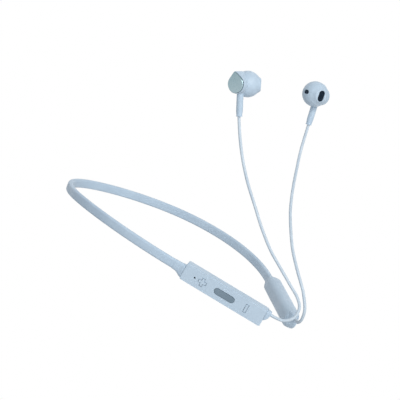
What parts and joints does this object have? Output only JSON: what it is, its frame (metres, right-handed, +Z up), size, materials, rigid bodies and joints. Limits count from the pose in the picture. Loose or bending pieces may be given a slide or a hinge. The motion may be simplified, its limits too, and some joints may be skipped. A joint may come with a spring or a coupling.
{
  "type": "neckband earphones",
  "caption": "Wireless earphones on a flat silicone neckband, with a control module and a battery module at its ends and half-in-ear buds on short cords.",
  "frame": {"origin": "middle of the strap's section at the nape, where the band rests on the back of the neck", "axes": "+Z up, the wearer faces -Y, +X to the wearer's left; the control module is on -X"},
  "size_m": [0.1266, 0.1647, 0.1527],
  "materials": {
    "silicone": "soft-touch matt silicone, pale powder blue",
    "shell_plastic": "fine-textured moulded plastic, pale powder blue",
    "face_plastic": "satin moulded plastic, pale powder blue",
    "call_key_plastic": "satin moulded plastic, slate blue-grey",
    "cord_jacket": "smooth elastomer jacket, pale blue-grey",
    "cap_metal": "polished and anodised, pale silver",
    "grille_mesh": "fine woven mesh, near black",
    "spring_steel": "drawn bright wire",
    "cable_jacket": "thin black jacket",
    "circuit_board": "green solder mask",
    "plated_metal": "nickel plated",
    "chip_black": "moulded black package",
    "cell_foil": "laminated pouch foil",
    "driver_plastic": "moulded black frame",
    "magnet_metal": "nickel plated",
    "diaphragm_film": "thin clear film"
  },
  "bodies": {
    "neckband": {"strap_sleeve": "silicone", "spring_wire": "spring_steel", "link_cable": "cable_jacket", "remote_face_plate": "face_plastic", "remote_back_shell": "shell_plastic", "remote_strap_boot": "silicone", "remote_cord_boot": "silicone", "remote_board": "circuit_board", "key_switches": "plated_metal", "voice_microphone": "plated_metal", "radio_chip": "chip_black", "charge_socket": "plated_metal", "battery_face_plate": "face_plastic", "battery_back_shell": "shell_plastic", "battery_strap_boot": "silicone", "battery_cord_boot": "silicone", "battery_cell": "cell_foil", "battery_board": "circuit_board", "right_cord": "cord_jacket", "left_cord": "cord_jacket"},
    "plus_key": {"plus_button": "face_plastic"},
    "call_key": {"call_button": "call_key_plastic"},
    "minus_key": {"minus_button": "face_plastic"},
    "port_flap": {"port_cover": "silicone"},
    "right_earbud": {"right_front_shell": "shell_plastic", "right_rear_shell": "shell_plastic", "right_back_cap": "cap_metal", "right_outlet_grille": "grille_mesh", "right_vent_grille": "grille_mesh", "right_driver_frame": "driver_plastic", "right_driver_magnet": "magnet_metal", "right_driver_diaphragm": "diaphragm_film", "right_cap_magnet": "magnet_metal", "right_stem_sleeve": "silicone"},
    "left_earbud": {"left_front_shell": "shell_plastic", "left_rear_shell": "shell_plastic", "left_back_cap": "cap_metal", "left_outlet_grille": "grille_mesh", "left_vent_grille": "grille_mesh", "left_driver_frame": "driver_plastic", "left_driver_magnet": "magnet_metal", "left_driver_diaphragm": "diaphragm_film", "left_cap_magnet": "magnet_metal", "left_stem_sleeve": "silicone"}
  },
  "joints": [
    {"name": "plus_press", "type": "slide", "parent": "neckband", "child": "plus_key", "axis": [0.8387, 0.4292, 0.3353], "range_m": [0, 0.0004], "stiffness_N_per_m": 3000},
    {"name": "call_press", "type": "slide", "parent": "neckband", "child": "call_key", "axis": [0.8387, 0.4292, 0.3353], "range_m": [0, 0.0004], "stiffness_N_per_m": 3000},
    {"name": "minus_press", "type": "slide", "parent": "neckband", "child": "minus_key", "axis": [0.8387, 0.4292, 0.3353], "range_m": [0, 0.0004], "stiffness_N_per_m": 3000},
    {"name": "port_flap_swing", "type": "hinge", "parent": "neckband", "child": "port_flap", "pos_m": [-0.02851, -0.12169, -0.08507], "axis": [-0.8387, -0.4292, -0.3353], "range_deg": [0, 110], "stiffness_Nm_per_rad": 0.0005},
    {"name": "right_earbud_turn", "type": "hinge", "parent": "neckband", "child": "right_earbud", "pos_m": [-0.031, -0.141, 0.0391], "axis": [-0.1997, -0.2128, 0.9565], "range_deg": [-40, 40], "stiffness_Nm_per_rad": 0.005},
    {"name": "left_earbud_turn", "type": "hinge", "parent": "neckband", "child": "left_earbud", "pos_m": [0.0332, -0.1515, 0.0436], "axis": [-0.0091, -0.3776, 0.9259], "range_deg": [-40, 40], "stiffness_Nm_per_rad": 0.005}
  ]
}
